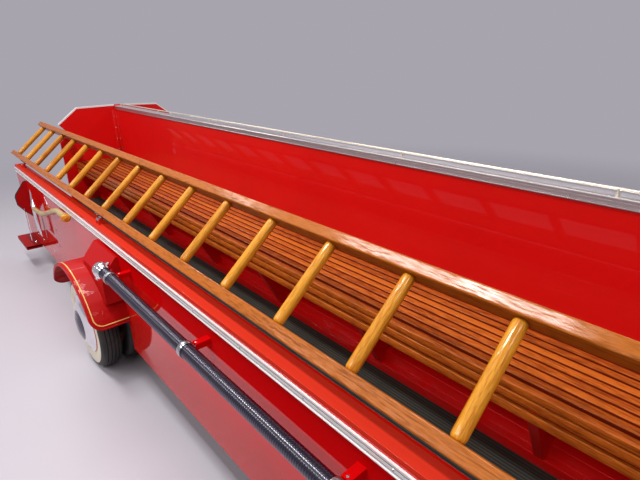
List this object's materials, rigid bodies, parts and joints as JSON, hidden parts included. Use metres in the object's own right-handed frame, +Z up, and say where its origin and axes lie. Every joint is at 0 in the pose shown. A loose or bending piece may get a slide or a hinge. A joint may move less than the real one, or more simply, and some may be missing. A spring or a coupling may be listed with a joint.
{
  "type": "child-ride fire engine truck",
  "caption": "Open fire engine for young riders: slatted benches back to back along a central wall, hinged wooden ladders over the foot-wells, twin rear wheels, hoses and an open cab.",
  "frame": {"origin": "on the ground below the middle of the whole engine", "axes": "+X forward, +Y to the engine's left, +Z up"},
  "size_m": [7.2, 1.892, 1.4538],
  "materials": {
    "red_paint": "gloss",
    "black_paint": "satin",
    "engine_paint": "satin",
    "mat_rubber": "ribbed matte",
    "bright_trim": "polished",
    "brass_rod": "polished",
    "varnished_wood": "varnished gloss",
    "hose_rubber": "ribbed satin",
    "chrome": "polished",
    "axe_finish": "varnished",
    "seat_leather": "satin",
    "clear_glass": "clear",
    "red_lens": "gloss",
    "bell_bronze": "polished",
    "steering_plastic": "gloss",
    "tyre_rubber": "matte",
    "wheel_finish": "polished",
    "stringer_wood": "varnished gloss",
    "rung_wood": "varnished gloss"
  },
  "bodies": {
    "engine_body": {"bell_stand": "chrome", "bench_frames": "red_paint", "bench_slats": "varnished_wood", "cab_seat": "seat_leather", "cab_tub": "red_paint", "central_wall": "red_paint", "chassis_frame": "black_paint", "cowl": "red_paint", "deck": "red_paint", "engine_block": "engine_paint", "fire_axes": "axe_finish", "floor_mats": "mat_rubber", "front_axle": "black_paint", "front_bulkhead": "red_paint", "front_bumper": "chrome", "front_fenders": "red_paint", "fuel_tank": "black_paint", "grille": "chrome", "headlamps": "chrome", "hose_fittings": "chrome", "leaf_springs": "black_paint", "nose_shell": "red_paint", "rear_axle": "black_paint", "rear_bulkhead": "red_paint", "rear_fenders": "red_paint", "rear_steps": "red_paint", "side_panel_left": "red_paint", "side_panel_right": "red_paint", "signal_rod": "brass_rod", "suction_hoses": "hose_rubber", "tail_lamps": "red_lens", "tow_plate": "black_paint", "trim_strips": "bright_trim", "windscreen_frame": "chrome", "windscreen_glass": "clear_glass"},
    "steer_right": {"steering_knuckle_right": "black_paint"},
    "steer_left": {"steering_knuckle_left": "black_paint"},
    "front_wheel_right": {"front_wheel_right": "wheel_finish", "front_tyre_right": "tyre_rubber"},
    "front_wheel_left": {"front_wheel_left": "wheel_finish", "front_tyre_left": "tyre_rubber"},
    "rear_wheels_right": {"rear_wheels_right": "wheel_finish", "rear_tyres_right": "tyre_rubber"},
    "rear_wheels_left": {"rear_wheels_left": "wheel_finish", "rear_tyres_left": "tyre_rubber"},
    "ladder_right": {"ladder_stringers_right": "stringer_wood", "ladder_rungs_right": "rung_wood", "ladder_hinges_right": "chrome"},
    "ladder_left": {"ladder_stringers_left": "stringer_wood", "ladder_rungs_left": "rung_wood", "ladder_hinges_left": "chrome"},
    "steering_wheel": {"steering_wheel": "steering_plastic"},
    "bell": {"bell": "bell_bronze"}
  },
  "joints": [
    {"name": "steer_left", "type": "hinge", "parent": "engine_body", "child": "steer_left", "pos_m": [2.75, 0.535, 0.265], "axis": [0, 0, 1], "range_deg": [-30, 30]},
    {"name": "steer_right", "type": "hinge", "parent": "engine_body", "child": "steer_right", "pos_m": [2.75, -0.535, 0.265], "axis": [0, 0, 1], "range_deg": [-30, 30]},
    {"name": "steering_wheel_turn", "type": "hinge", "parent": "engine_body", "child": "steering_wheel", "pos_m": [2.17, 0.21, 1.06], "axis": [-0.809, 0, 0.5878], "range_deg": [-450, 450]},
    {"name": "front_wheel_left_spin", "type": "hinge", "parent": "steer_left", "child": "front_wheel_left", "pos_m": [2.75, 0.65, 0.265], "axis": [0, 1, 0], "continuous": true},
    {"name": "front_wheel_right_spin", "type": "hinge", "parent": "steer_right", "child": "front_wheel_right", "pos_m": [2.75, -0.65, 0.265], "axis": [0, 1, 0], "continuous": true},
    {"name": "rear_wheels_left_spin", "type": "hinge", "parent": "engine_body", "child": "rear_wheels_left", "pos_m": [-1.39, 0.7725, 0.265], "axis": [0, 1, 0], "continuous": true},
    {"name": "rear_wheels_right_spin", "type": "hinge", "parent": "engine_body", "child": "rear_wheels_right", "pos_m": [-1.39, -0.7725, 0.265], "axis": [0, 1, 0], "continuous": true},
    {"name": "ladder_left_swing", "type": "hinge", "parent": "engine_body", "child": "ladder_left", "pos_m": [0, 0.73, 0.842], "axis": [-1, 0, 0], "range_deg": [0, 76]},
    {"name": "ladder_right_swing", "type": "hinge", "parent": "engine_body", "child": "ladder_right", "pos_m": [0, -0.73, 0.842], "axis": [1, 0, 0], "range_deg": [0, 76]},
    {"name": "bell_swing", "type": "hinge", "parent": "engine_body", "child": "bell", "pos_m": [2.495, 0, 1.25], "axis": [0, 1, 0], "range_deg": [-35, 35]}
  ],
  "couplings": [
    {"joint": "steer_right", "follows": "steer_left", "ratio": 1},
    {"joint": "steering_wheel_turn", "follows": "steer_left", "ratio": 15}
  ]
}
